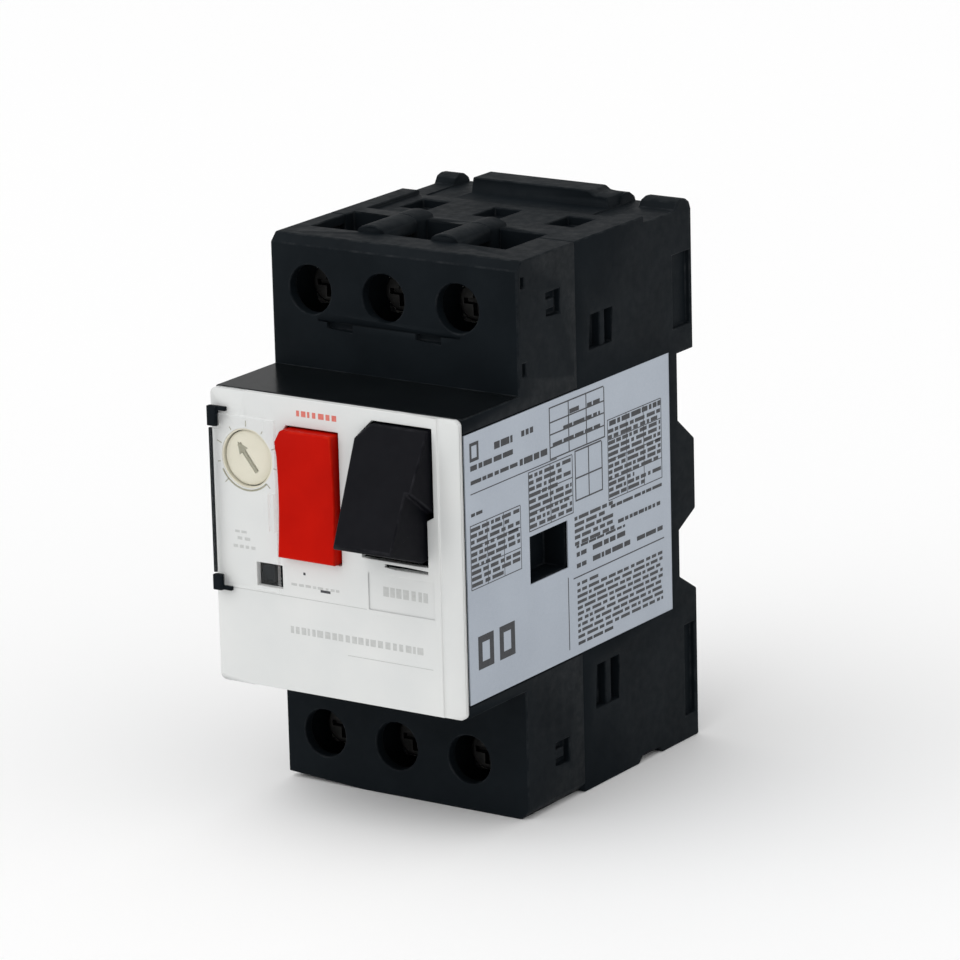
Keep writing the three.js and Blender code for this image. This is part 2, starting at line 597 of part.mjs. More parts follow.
add('rear_housing', rearHousing(), 'housing');
add('front_housing', frontHousing(), 'housing');
add('fascia', fascia(), 'fascia');
add('start_button', startButton(), 'startBlack');
add('stop_button', stopButton(), 'stopRed');
add('setting_dial', settingDial(), 'dialCream');
add('dial_flap', dialFlap(), 'clear');
add('flap_hinge_upper', flapKnuckle([61.3, 64.3], [63.7, 64.3]), 'startBlack');
add('flap_hinge_lower', flapKnuckle([35.4, 37.7], [35.4, 36]), 'startBlack');
add('test_slider', testSlider(), 'housing');
add('rating_label', ratingLabel(), 'labelSilver');
add('rail_latch', railLatch(), 'housing');
add('rail_latch_spring', railLatchSpring(), 'steel');
add('mechanism_plate', mechanismPlate(), 'steel');
add('trip_bar', tripBar(), 'innerPlastic');
add('drive_lever', driveLever(), 'innerPlastic');
add('adjusting_lever', adjustingLever(), 'innerPlastic');
add('contact_carrier', contactCarrier(), 'innerPlastic');
add('start_spring', startSpring(), 'steel');
add('stop_spring', stopSpring(), 'steel');
add('carrier_spring', carrierSpring(), 'steel');
POLES.forEach((x, index) => {
  const pole = index + 1;
  add(`line_terminal_${pole}`, lineTerminal(x), 'copper');
  add(`load_terminal_${pole}`, loadTerminal(x), 'copper');
  add(`coil_terminal_${pole}`, coilTerminal(x), 'copper');
  add(`contact_bridge_${pole}`, contactBridge(x), 'copper');
  add(`arc_chute_${pole}`, arcChute(x), 'steel');
  add(`trip_coil_${pole}`, tripCoil(x), 'copper');
  add(`coil_bobbin_${pole}`, coilBobbin(x), 'innerPlastic');
  add(`trip_plunger_${pole}`, tripPlunger(x), 'steel');
  add(`bimetal_${pole}`, bimetal(x), 'bimetal');
  for (const side of ['line', 'load']) {
    add(`${side}_screw_${pole}`, terminalScrew(x, side), 'steel');
    add(`${side}_clamp_${pole}`, terminalClamp(x, side), 'steel');
  }
});

const breaker = new THREE.Group();
breaker.add(device);

export default breaker;
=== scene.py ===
"""Looks of a three-pole motor protection breaker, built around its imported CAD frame."""

import json
import math
import random

import bmesh
import bpy
from mathutils import Matrix, Quaternion, Vector
from mathutils.geometry import intersect_point_line

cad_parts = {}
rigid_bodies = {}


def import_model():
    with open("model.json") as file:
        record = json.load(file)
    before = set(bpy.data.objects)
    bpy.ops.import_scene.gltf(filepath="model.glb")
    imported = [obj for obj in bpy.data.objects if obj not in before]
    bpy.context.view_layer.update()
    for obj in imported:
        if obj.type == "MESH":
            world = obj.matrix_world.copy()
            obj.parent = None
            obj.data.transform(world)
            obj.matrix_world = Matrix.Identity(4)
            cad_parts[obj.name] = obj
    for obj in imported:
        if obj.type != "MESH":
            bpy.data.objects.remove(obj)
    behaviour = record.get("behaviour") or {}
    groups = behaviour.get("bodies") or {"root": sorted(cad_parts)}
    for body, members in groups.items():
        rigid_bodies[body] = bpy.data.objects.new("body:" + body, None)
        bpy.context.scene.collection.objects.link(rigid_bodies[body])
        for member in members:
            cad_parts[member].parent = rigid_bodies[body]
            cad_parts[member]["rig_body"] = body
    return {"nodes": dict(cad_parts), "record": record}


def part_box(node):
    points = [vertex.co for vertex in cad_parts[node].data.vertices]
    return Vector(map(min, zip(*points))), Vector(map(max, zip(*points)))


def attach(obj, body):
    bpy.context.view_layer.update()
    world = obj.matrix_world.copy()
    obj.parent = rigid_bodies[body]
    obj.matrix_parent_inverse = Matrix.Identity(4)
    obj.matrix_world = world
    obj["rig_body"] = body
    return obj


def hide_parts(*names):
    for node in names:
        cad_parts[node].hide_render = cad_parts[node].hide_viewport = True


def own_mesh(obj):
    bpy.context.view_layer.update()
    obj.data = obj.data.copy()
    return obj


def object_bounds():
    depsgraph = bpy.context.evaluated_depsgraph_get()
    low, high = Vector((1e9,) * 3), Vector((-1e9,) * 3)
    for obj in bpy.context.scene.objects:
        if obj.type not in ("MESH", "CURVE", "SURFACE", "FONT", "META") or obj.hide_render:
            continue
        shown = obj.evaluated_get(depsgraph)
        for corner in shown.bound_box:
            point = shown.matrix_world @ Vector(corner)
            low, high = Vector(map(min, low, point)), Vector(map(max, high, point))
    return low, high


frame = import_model()
cad_low, cad_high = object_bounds()

MM = 0.001              # metres in a millimetre
RAIL_CENTRE = 45.5      # height of the frame's origin above the bottom of the case, in millimetres


def at(x, y, height):
    """A point given in millimetres, with its height from the bottom of the case, in metres."""
    return Vector((x, y, height - RAIL_CENTRE)) * MM


def corners(node):
    """A node's lowest and highest corners as at() takes them, to 0.01 mm."""
    return [[round(value / MM + shift, 2) for value, shift in zip(corner, (0, 0, RAIL_CENTRE))]
            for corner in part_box(node)]


# ---- Places: millimetres, from the CAD nodes ----
FASCIA_FRONT = corners("fascia")[0][1]
HOOD_TOP = corners("fascia")[1][2]
LABEL_FACE = corners("rating_label")[1][0]
DIAL_LOW, DIAL_HIGH = corners("setting_dial")
DIAL = ((DIAL_LOW[0] + DIAL_HIGH[0]) / 2, (DIAL_LOW[2] + DIAL_HIGH[2]) / 2)
DIAL_FRONT = DIAL_LOW[1]
FLAP_LOW, FLAP_HIGH = corners("dial_flap")
KNUCKLE_GAP = 0.4       # between the hinge's knuckles and the pane
HINGE_LOW = corners("flap_hinge_lower")[1][2] + KNUCKLE_GAP
HINGE_HIGH = corners("flap_hinge_upper")[0][2] - KNUCKLE_GAP

# ---- Small parts: millimetres ----
FLAP_DEPTH = (-63.1, -62.3)     # front and back of the pane
FLAP_ROUNDING = 0.1
HINGE_AXIS = (-22.0, -62.7)     # x and depth
HINGE_RADIUS = 0.3
HINGE_SIDE = -21.9              # x of the pane's edge between the knuckles
KNUCKLE_SIDE = -20.3            # x of its edge beside them
LIP_X = (-11.2, -10.1)          # the pane's thumb lip
LIP_HEIGHTS = (46, 52)
LIP_PROUD = 0.45                # in front of the pane
LIP_ROOT = 0.3                  # inside the pane
COLLAR_RADII = (4.45, 4.69)     # the ring inside the fascia's hole around the dial
COLLAR_DEPTHS = (-61.55, -60.65)
COLLAR_SIDES = 48
ARROW = ((-2.6, -0.25), (1.2, -0.25), (1.2, -1.0), (3.0, 0), (1.2, 1.0), (1.2, 0.25), (-2.6, 0.25))
ARROW_ANGLE = math.radians(128)
SCALE_ANGLES = (-45, 225)       # degrees, with a long tick at both ends
SCALE_STEPS = 8
TICK_RADIUS = 5.0
TICK_LENGTHS = (0.9, 0.55)      # of even and odd ticks
TICK_HALF_WIDTH = 0.07
# Painted shade: an olive arc on the fascia just outside the dial's lower rim stands in for the shade
# along that rim.
SHADE_ARC_ANGLES = (205, 315)         # degrees
SHADE_ARC_RADII = (4.85, 5.15)
SHADE_ARC_PIECES = 12
SHADE_ARC_FILL = 0.98                 # how much of its step a piece of the arc covers
COIL_FLAT_TURN = 0.3            # turns at each end of a spring that stay level
SPRINGS = (
    # node, axis, wire radius, turns, joint, share of the length that is left, fixed end
    ("start_spring", "y", 0.25, 6, "start_press", 0.78, "high"),
    ("stop_spring", "y", 0.3, 6, "stop_press", 0.57, "high"),
    ("carrier_spring", "y", 0.3, 8, "contact_close", 0.76, "high"),
    ("rail_latch_spring", "z", 0.35, 6, "rail_latch_slide", 0.62, "low"),
)

# ---- Rounding of edges ----
SHARP = math.radians(28)        # edges sharper than this are rounded
FLAT = math.radians(1.5)        # faces closer to one plane than this are merged
WELD = 2e-6                     # metres between corners that are one
FACE_ROOM = 2.2                 # radii from a rounded edge to the next edge across a face
NEIGHBOUR_ROOM = 1.3            # radii that each neighbouring edge is long
ROOM_STEP = 3                   # radii between the points where that room is measured
FACE_WEIGHT = 80                # how strongly large faces lead the shading of rounded ones
FACING = 0.9                    # cosine from which a face counts as facing along an axis
HOOD_TOLERANCE = 0.3            # millimetres
FASCIA_SEAMS = (DIAL[0], -12.6, -4.6, 11)   # x of planes through the fascia's openings

# ---- Printing: millimetres ----
INK = 0.02                      # height of a printed mark
INK_LEVELS = 16                 # how many heights the marks take in turn
LABEL_SEED = 7
FASCIA_SEED = 3
WORD_LENGTHS = (0.7, 3.2)
SHORTEST_WORD = 0.4
WORD_GAP = 0.35
DENSE_WORD_GAP = 0.25
NARROW_LENGTHS = (0.4, 1.1)
NARROW_GAPS = (0.25, 0.5)
SHORTEST_NARROW = 0.3
FULL_LINES = 0.85               # share of a paragraph's lines that run to its end
SHORT_LINES = (0.4, 0.8)        # how far the other lines run
BASELINE = 0.75                 # share of a line's pitch from its top down to its dashes' foot

# From and to are x on the fascia and y on the label.
FASCIA_LINES = (
    # from, to, height, size
    (-9, 15.5, 30, 1.1), (-19.2, -15.4, 42.2, 0.5), (-18.4, -16.2, 43.5, 0.5),
    (-18.8, -16, 44.6, 0.4), (-8.6, 0.4, 37.6, 0.4),
)
# from, to, lowest, highest
FASCIA_RULES = ((-20, 5.2, 35.7, 35.8), (1.5, 17, 27.9, 28.0))
FASCIA_SPOTS = ((-3.2, -1.4, 37.2, 37.6), (-6.3, -5.9, 39.5, 39.9))
# from, to, height, size
FASCIA_RED_LINE = (-6.6, 0.4, 64.3, 0.9)
CAPTION_LINE = (8.2, 16.2, 38.2, 1.5)
CAPTION_SUNK = 0.2              # depth of the caption's field below the fascia's front
LABEL_FRAMES = (
    # from, to, lowest, highest, width of the line
    (-58.6, -56.2, 60, 62.9, 0.5), (-57.6, -53.4, 27.6, 32.8, 1.1), (-51.8, -47.6, 27.6, 32.8, 1.1),
)
LABEL_LINES = (
    # from, to, height, size
    (-52, -47, 60.5, 1.1), (-44.6, -41, 60.7, 0.9), (-58.5, -47, 58.6, 0.8),
    (-58.5, -45.8, 56.5, 0.6), (-45.2, -37.6, 56.3, 1.0), (-31.2, -28.4, 61.2, 0.7),
    (-26.2, -22.6, 61.0, 0.7), (-33, -22.6, 59.2, 0.5), (-36, -22.6, 57.2, 0.5),
    (-20, -5, 56.6, 0.8), (-58.6, -55, 51.6, 0.5), (-30, -27.2, 38.2, 0.7),
    (-25.4, -16, 38.2, 0.8), (-30, -27.2, 36.4, 0.7), (-25.4, -14.6, 36.4, 0.8),
    (-12.6, -5, 36.4, 0.7), (-18, -5.6, 40.6, 0.6), (-20, -5, 43.5, 0.5),
    (-30, -16, 39.6, 0.4), (-30, -20, 24.1, 0.5),
)
LABEL_TABLES = (
    # columns, rows, width of the rules
    ((-36.9, -31.6, -26.6, -21.5), (55.2, 57, 59, 60.9, 63.2), 0.22),
    ((-59, -54.5, -50, -45.4), (40.3, 43.6, 46.8, 50.2), 0.14),
    ((-43, -37, -30.8), (45.4, 48.2, 51.0, 54.6), 0.16),
    ((-30, -26.2, -22.4), (47, 50.5, 54.8), 0.25),
    ((-20.6, -15.2, -10.2, -5), (44.8, 48, 51.2, 54.4, 57.6), 0.14),
)
# from, to, lowest, highest
LABEL_RULES = ((-58.6, -35, 55, 55.16), (-31, -4.6, 34.9, 35.1), (-32.6, -32.4, 24, 35.6))
LABEL_PARAGRAPHS = (
    # from, to, lowest, highest, lines, size
    (-58.8, -45.6, 40.5, 50, 10, 0.58), (-42.8, -31, 45.6, 54.4, 9, 0.6),
    (-20.4, -5.2, 45, 56.2, 12, 0.6), (-30.4, -19, 39.8, 44.8, 5, 0.58),
    (-30, -5.2, 24.9, 33.2, 9, 0.5), (-30, -24, 33.2, 34.6, 1, 0.5),
)

# ---- View and light ----
VIEW_ANGLES = (33.89, 15.30, -1.49)     # azimuth, elevation and roll in degrees
VIEW_TARGET = at(5.0, -30, 48.2)
VIEW_DISTANCE = 0.837                   # metres
SENSOR = 36                             # millimetres
LENS = 203.4                            # millimetres
FLOOR_SIZE = 6                          # metres
SKY_STRENGTH = 0.76
KEY_LIGHT = ((-0.35, -0.55, 0.76), 1.05, 70)    # where it comes from, strength, softness in degrees
SIDE_LIGHT = ((0.85, -0.35, 0.35), 0.12, 60)

# A Mix node's sockets share their names, so that they go by number.
MIX_FACTOR_AND_COLOURS = (0, 6, 7)
MIX_COLOUR_RESULT = 2


# ---- Node materials ----
class Finish:
    """A Principled material and the few nodes that its surface needs."""

    def __init__(self, name, roughness=0.5, metallic=0.0, specular=0.5):
        self.material = bpy.data.materials.new(name)
        self.material.use_nodes = True
        self.tree = self.material.node_tree
        self.shader = self.tree.nodes["Principled BSDF"]
        self.shader.inputs["Roughness"].default_value = roughness
        self.shader.inputs["Metallic"].default_value = metallic
        self.shader.inputs["Specular IOR Level"].default_value = specular
        self.place = self.tree.nodes.new("ShaderNodeTexCoord").outputs["Object"]

    def feed(self, socket, value):
        """Links an input to another node's output, or gives it a value."""
        if isinstance(value, bpy.types.NodeSocket):
            self.tree.links.new(value, socket)
        else:
            socket.default_value = value

    def node(self, kind, **inputs):
        """A new node, with its inputs fed by name."""
        made = self.tree.nodes.new(kind)
        for name, value in inputs.items():
            self.feed(made.inputs[name.replace("_", " ")], value)
        return made

    def stretched(self, scale):
        """Object coordinates scaled along each axis."""
        return self.node("ShaderNodeMapping", Vector=self.place, Scale=scale).outputs["Vector"]

    def noise(self, size_mm, detail=3.0, roughness=0.5, place=None):
        """Cloudy noise from 0 to 1 whose blotches are about size_mm across."""
        made = self.node(
            "ShaderNodeTexNoise", Scale=1 / (size_mm * MM), Detail=detail, Roughness=roughness,
            Vector=place or self.place)
        return made.outputs["Fac"]

    def spread(self, value, low, high, start=0.3, end=0.7):
        """value taken from start..end to low..high."""
        made = self.node(
            "ShaderNodeMapRange", Value=value, From_Min=start, From_Max=end, To_Min=low, To_Max=high)
        return made.outputs["Result"]

    def mix(self, amount, first, second):
        """Colour between two colours or colour sockets."""
        made = self.node("ShaderNodeMix")
        made.data_type = "RGBA"
        for index, value in zip(MIX_FACTOR_AND_COLOURS, (amount, first, second)):
            self.feed(made.inputs[index], value)
        return made.outputs[MIX_COLOUR_RESULT]

    def times(self, first, second):
        """The product of two sockets."""
        made = self.node("ShaderNodeMath")
        made.operation = "MULTIPLY"
        for socket, value in zip(made.inputs, (first, second)):
            self.feed(socket, value)
        return made.outputs["Value"]

    def colour(self, socket):
        """Takes the base colour from a socket."""
        self.feed(self.shader.inputs["Base Color"], socket)

    def roughness(self, socket):
        """Takes the roughness from a socket."""
        self.feed(self.shader.inputs["Roughness"], socket)

    def bump(self, height, strength, distance_mm):
        """Fine relief, as deep as distance_mm times its strength."""
        made = self.node("ShaderNodeBump", Height=height, Strength=strength, Distance=distance_mm * MM)
        self.feed(self.shader.inputs["Normal"], made.outputs["Normal"])


def rgb(red, green, blue):
    """An opaque colour in linear light."""
    return (red, green, blue, 1.0)


def moulded(name, deep, pale, edge, rough, specular=0.35, grain_mm=0.22, grain_depth=0.012, wear=0.6):
    """Moulded plastic: cloudy colour, fine grain, and edges rubbed towards another colour."""
    finish = Finish(name, specular=specular)
    clouds = finish.spread(finish.noise(9.0, 4.0), 0.0, 1.0)
    body = finish.mix(clouds, deep, pale)
    worn = finish.node("ShaderNodeAttribute")
    worn.attribute_name = "wear"
    patches = finish.spread(finish.noise(2.5, 5.0, 0.65), 0.0, wear, 0.42, 0.68)
    finish.colour(finish.mix(finish.times(worn.outputs["Fac"], patches), body, edge))
    finish.roughness(finish.spread(finish.noise(1.6, 4.0, 0.6), *rough))
    finish.bump(finish.noise(grain_mm, 2.0), 0.5, grain_depth)
    return finish.material


def metal(name, deep, pale, rough, brushed=(1, 1, 1)):
    """Plated or rolled metal, with drawn marks along the least stretched axis."""
    finish = Finish(name, metallic=1.0)
    stains = finish.spread(finish.noise(3.0, 5.0, 0.6), 0.0, 1.0)
    finish.colour(finish.mix(stains, deep, pale))
    marks = finish.noise(0.35, 3.0, 0.6, finish.stretched(brushed))
    finish.roughness(finish.spread(marks, *rough))
    finish.bump(marks, 0.25, 0.01)
    return finish.material


def ink(name, deep, pale, rough=(0.45, 0.6)):
    """Printing ink that lies a little unevenly."""
    finish = Finish(name)
    finish.colour(finish.mix(finish.spread(finish.noise(0.6, 4.0, 0.7), 0.0, 1.0), deep, pale))
    finish.roughness(finish.spread(finish.noise(0.4), *rough))
    return finish.material


def label_film():
    """Silver-grey polyester film with a fine satin sparkle."""
    finish = Finish("label_film", metallic=0.35)
    clouds = finish.spread(finish.noise(12.0, 3.0), 0.0, 1.0)
    tone = finish.mix(clouds, rgb(0.345, 0.39, 0.455), rgb(0.39, 0.44, 0.505))
    fleck = finish.spread(finish.noise(0.12, 1.0), 0.0, 0.5)
    finish.colour(finish.mix(fleck, tone, rgb(0.47, 0.5, 0.55)))
    finish.roughness(finish.spread(finish.noise(0.5, 3.0), 0.34, 0.5))
    finish.bump(finish.noise(0.3, 2.0), 0.15, 0.006)
    return finish.material


def clear_plastic(name, alpha):
    """Clear polycarbonate, faintly scuffed."""
    finish = Finish(name, specular=0.25)
    finish.colour(finish.mix(finish.noise(6.0), rgb(0.86, 0.89, 0.88), rgb(0.95, 0.96, 0.95)))
    finish.roughness(finish.spread(finish.noise(1.2, 5.0, 0.7), 0.06, 0.2))
    finish.shader.inputs["Alpha"].default_value = alpha
    return finish.material


BLACK = moulded("case_black", rgb(0.0042, 0.0064, 0.0084), rgb(0.0068, 0.0096, 0.0122),
                rgb(0.026, 0.029, 0.032), (0.5, 0.66), specular=0.05)
BLACK_GLOSS = moulded("case_black_gloss", rgb(0.004, 0.0052, 0.006), rgb(0.006, 0.0074, 0.0084),
                      rgb(0.026, 0.029, 0.031), (0.16, 0.24), specular=0.04,
                      grain_mm=0.6, grain_depth=0.004)
WHITE = moulded("cover_white", rgb(0.66, 0.675, 0.67), rgb(0.7, 0.71, 0.7),
                rgb(0.76, 0.76, 0.74), (0.36, 0.5), grain_depth=0.005, wear=0.4)
START = moulded("start_black", rgb(0.0032, 0.0034, 0.0052), rgb(0.005, 0.0052, 0.0074),
                rgb(0.024, 0.024, 0.028), (0.42, 0.56), specular=0.06, grain_mm=0.18, grain_depth=0.008)
RED = moulded("stop_red", rgb(0.42, 0.003, 0.0), rgb(0.5, 0.005, 0.0005),
              rgb(0.6, 0.02, 0.006), (0.36, 0.5), specular=0.04, grain_depth=0.004, wear=0.5)
CREAM = moulded("dial_cream", rgb(0.66, 0.63, 0.51), rgb(0.72, 0.69, 0.57),
                rgb(0.76, 0.74, 0.64), (0.35, 0.5), grain_depth=0.004)
NATURAL = moulded("inner_plastic", rgb(0.5, 0.44, 0.33), rgb(0.6, 0.53, 0.41),
                  rgb(0.64, 0.58, 0.48), (0.4, 0.55))
# Painted shade: the screws' steel is coloured near black, for the shade deep in their holes.
SCREW_PAINTED_SHADE = metal("screw_steel_painted_shade", rgb(0.02, 0.02, 0.02), rgb(0.05, 0.05, 0.048), (0.45, 0.65))
STEEL = metal("steel_zinc", rgb(0.5, 0.5, 0.47), rgb(0.66, 0.66, 0.63), (0.22, 0.42), (1, 1, 5))
COPPER = metal("contact_copper", rgb(0.6, 0.3, 0.17), rgb(0.78, 0.44, 0.27), (0.25, 0.45), (5, 5, 1))
BIMETAL = metal("bimetal_strip", rgb(0.5, 0.44, 0.32), rgb(0.62, 0.56, 0.42), (0.3, 0.45), (5, 5, 1))
FILM = label_film()
CLEAR = clear_plastic("clear_plastic", 0.015)
# Painted glow: a paler, more opaque clear plastic for the pane's edge faces, standing in for the light
# that clear plastic's edges catch.
PAINTED_EDGE_GLOW = clear_plastic("clear_plastic_painted_edge_glow", 0.22)
DARK_INK = ink("ink_dark", rgb(0.014, 0.016, 0.02), rgb(0.028, 0.03, 0.036))
GREY_INK = ink("ink_grey", rgb(0.02, 0.022, 0.026), rgb(0.045, 0.047, 0.053))
PALE_INK = ink("ink_pale", rgb(0.46, 0.47, 0.46), rgb(0.55, 0.56, 0.55))
# Olive ink for the dial's arrow and scale, also used as painted shade for the arc below the dial.
OLIVE_INK_AND_SHADE = ink("ink_olive_and_shade", rgb(0.26, 0.25, 0.18), rgb(0.34, 0.33, 0.25))
RED_INK = ink("ink_red", rgb(0.6, 0.13, 0.1), rgb(0.68, 0.2, 0.16))


# ---- Pieces ----
def piece(name, mesh, materials, body, replaces=()):
    """Adds a finished mesh to the scene as a piece that rides on a body."""
    made = bpy.data.objects.new(name, mesh)
    bpy.context.scene.collection.objects.link(made)
    for material in materials:
        mesh.materials.append(material)
    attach(made, body)
    if replaces:
        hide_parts(*replaces)
    return made


def body_of(node):
    """The name of the body that a CAD node rides on."""
    return frame["nodes"][node]["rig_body"]


def distance(point, edge):
    """From a point to the nearest point of an edge."""
    start, end = (vertex.co for vertex in edge.verts)
    share = intersect_point_line(point, start, end)[1]
    return (start.lerp(end, min(max(share, 0.0), 1.0)) - point).length


def roomy(edge, radius):
    """Whether both faces of an edge are wide enough, and its neighbours long enough, to round it."""
    neighbours = {other for vertex in edge.verts for other in vertex.link_edges} - {edge}
    if min(other.calc_length() for other in neighbours) < NEIGHBOUR_ROOM * radius:
        return False
    start, end = (vertex.co for vertex in edge.verts)
    steps = max(3, int(edge.calc_length() / (ROOM_STEP * radius)))
    points = [start.lerp(end, step / steps) for step in range(steps + 1)]
    across = {other for face in edge.link_faces for other in face.edges} - neighbours - {edge}
    return all(distance(point, other) > FACE_ROOM * radius for other in across for point in points)


def split_at(bm, x):
    """Marks a seam across every face that the plane at x in millimetres cuts."""
    everything = bm.verts[:] + bm.edges[:] + bm.faces[:]
    split = bmesh.ops.bisect_plane(bm, geom=everything, plane_co=(x * MM, 0, 0), plane_no=(1, 0, 0))
    for item in split["geom_cut"]:
        if isinstance(item, bmesh.types.BMEdge):
            item.seam = True


def rounded_copy(node, materials, radius, segments=2, shortest=0.7, gloss=None, seams=()):
    """A copy of a CAD node with its sharp edges rounded, which then stands for the node.

    Edges up to the shortest length stay sharp. Flat faces stay split at the seams, so that none
    of them encloses an opening. Faces that gloss() picks take the second material.
    """
    bm = bmesh.new()
    bm.from_mesh(frame["nodes"][node].data)
    bmesh.ops.remove_doubles(bm, verts=bm.verts, dist=WELD)
    for x in seams:
        split_at(bm, x)
    bmesh.ops.dissolve_limit(bm, angle_limit=FLAT, verts=bm.verts, edges=bm.edges, delimit={"SEAM"})
    wear = bm.faces.layers.float.new("wear")
    sharp = [
        edge for edge in bm.edges
        if edge.is_manifold and edge.calc_face_angle(0.0) > SHARP
        and edge.calc_length() > shortest * MM and roomy(edge, radius * MM)
    ]
    rounded = bmesh.ops.bevel(
        bm, geom=sharp, offset=radius * MM, offset_type="OFFSET", segments=segments, profile=0.5,
        affect="EDGES", clamp_overlap=False, loop_slide=True)
    for face in rounded["faces"]:
        face[wear] = 1.0
    bmesh.ops.remove_doubles(bm, verts=bm.verts, dist=WELD / 2)
    for face in bm.faces:
        face.smooth = True
        if gloss and gloss(face):
            face.material_index = 1
    bmesh.ops.triangulate(bm, faces=[face for face in bm.faces if len(face.verts) > 4])
    name = node + "_looks"
    made = piece(name, finished_mesh(bm, name), materials, body_of(node), (node,))
    weighted = made.modifiers.new("weighted", "WEIGHTED_NORMAL")
    weighted.keep_sharp = True
    weighted.weight = FACE_WEIGHT


def finished_mesh(bm, name):
    """Turns a bmesh into a mesh of that name."""
    mesh = bpy.data.meshes.new(name)
    bm.to_mesh(mesh)
    bm.free()
    return mesh


def closed_mesh(bm, name):
    """Turns a bmesh of closed shells into a mesh, with its faces turned outwards."""
    bmesh.ops.recalc_face_normals(bm, faces=bm.faces)
    return finished_mesh(bm, name)


def around(count):
    """Angles in equal steps around a circle."""
    return [2 * math.pi * step / count for step in range(count)]


def skin(bm, rings, smooth=False):
    """Faces between each ring of vertices and the next."""
    for near, far in zip(rings, rings[1:]):
        for i in range(len(near)):
            bm.faces.new((near[i - 1], near[i], far[i], far[i - 1])).smooth = smooth


def soften(made):
    """Rounds a part of the flap along its sharp edges."""
    bevel = made.modifiers.new("rounded", "BEVEL")
    bevel.width = FLAP_ROUNDING * MM
    bevel.segments = 2
    bevel.limit_method = "ANGLE"
    bevel.angle_limit = SHARP


def add_box(bm, low, high):
    """A closed box between two corners in millimetres."""
    low, high = at(*low), at(*high)
    for vertex in bmesh.ops.create_cube(bm, size=1.0)["verts"]:
        share = vertex.co + Vector((0.5, 0.5, 0.5))
        vertex.co = Vector(a + (b - a) * s for a, b, s in zip(low, high, share))


def add_rod(bm, start, end, radius, sides=24):
    """A closed rod between two points in metres."""
    turn = (end - start).to_track_quat("Z", "Y").to_matrix().to_4x4()
    place = Matrix.Translation((start + end) / 2) @ turn
    bmesh.ops.create_cone(
        bm, cap_ends=True, segments=sides, radius1=radius * MM, radius2=radius * MM,
        depth=(end - start).length, matrix=place)


def add_plate(bm, outline, front, back, centre=(0, 0), angle=0.0):
    """A flat (x, height) outline, turned by angle about its centre and given a thickness."""
    turned = [(centre[0] + u * math.cos(angle) - v * math.sin(angle),
               centre[1] + u * math.sin(angle) + v * math.cos(angle)) for u, v in outline]
    near, far = ([bm.verts.new(at(u, depth, v)) for u, v in turned] for depth in (front, back))
    bm.faces.new(near)
    bm.faces.new(reversed(far))
    for i in range(len(near)):
        bm.faces.new((near[i - 1], far[i - 1], far[i], near[i]))


def marks_piece(name, marks, material):
    """One mesh of small closed boxes, each from a low and a high corner in millimetres."""
    bm = bmesh.new()
    for low, high in marks:
        add_box(bm, low, high)
    piece(name, finished_mesh(bm, name), [material], "root")


# ---- Printing ----
def raised(index):
    """How far a mark stands proud; it differs between marks, so that crossing ones share no face."""
    return INK * (1 - (index % INK_LEVELS) / (2 * INK_LEVELS))


def on_fascia(marks, sunk=0.0):
    """Flat marks on the fascia or on its sunk field, from (x, x, height, height)."""
    field = FASCIA_FRONT + sunk
    return [((x0, field - raised(index), h0), (x1, field + INK, h1))
            for index, (x0, x1, h0, h1) in enumerate(marks)]


def on_label(marks):
    """Flat marks on the side label, from (y, y, height, height)."""
    return [((LABEL_FACE - INK, y0, h0), (LABEL_FACE + raised(index), y1, h1))
            for index, (y0, y1, h0, h1) in enumerate(marks)]


def words(rng, start, end, height, size, gap=WORD_GAP):
    """A line of blank dashes with the rhythm of words."""
    marks = []
    place = start
    while place < end - SHORTEST_WORD:
        length = min(rng.uniform(*WORD_LENGTHS), end - place)
        marks.append((place, place + length, height, height + size))
        place += length + rng.uniform(gap, 2 * gap)
    return marks


def narrow_dashes(rng, start, end, height, size):
    """A line of short upright dashes, set close."""
    marks = []
    place = start
    while place < end - SHORTEST_NARROW:
        length = rng.uniform(*NARROW_LENGTHS)
        marks.append((place, place + length, height, height + size))
        place += length + rng.uniform(*NARROW_GAPS)
    return marks


def paragraph(rng, start, end, low, high, lines, size):
    """Lines of dashes; all but the full ones end early."""
    pitch = (high - low) / lines
    marks = []
    for line in range(lines):
        full = rng.random() < FULL_LINES
        stop = end if full else start + (end - start) * rng.uniform(*SHORT_LINES)
        marks += words(rng, start, stop, high - (line + BASELINE) * pitch, size)
    return marks


def frame_lines(left, right, low, high, width):
    """The four sides of a plain rectangle."""
    inner = (low + width, high - width)
    return [
        (left, right, low, inner[0]), (left, right, inner[1], high),
        (left, left + width, *inner), (right - width, right, *inner),
    ]


def table_rules(columns, rows, width):
    """Thin rules at the given columns and rows."""
    upright = [(column, column + width, rows[0], rows[-1]) for column in columns]
    level = [(columns[0], columns[-1], row, row + width) for row in rows]
    return upright + level


def label_print():
    """Rows of dashes, table rules and plain frames, where the label has its small print."""
    rng = random.Random(LABEL_SEED)
    dark = []
    for sides in LABEL_FRAMES:
        dark += frame_lines(*sides)
    for line in LABEL_LINES:
        dark += words(rng, *line, DENSE_WORD_GAP)
    grey = []
    for table in LABEL_TABLES:
        grey += table_rules(*table)
    grey += LABEL_RULES
    for block in LABEL_PARAGRAPHS:
        grey += paragraph(rng, *block)
    marks_piece("label_print_dark", on_label(dark), DARK_INK)
    marks_piece("label_print_grey", on_label(grey), GREY_INK)


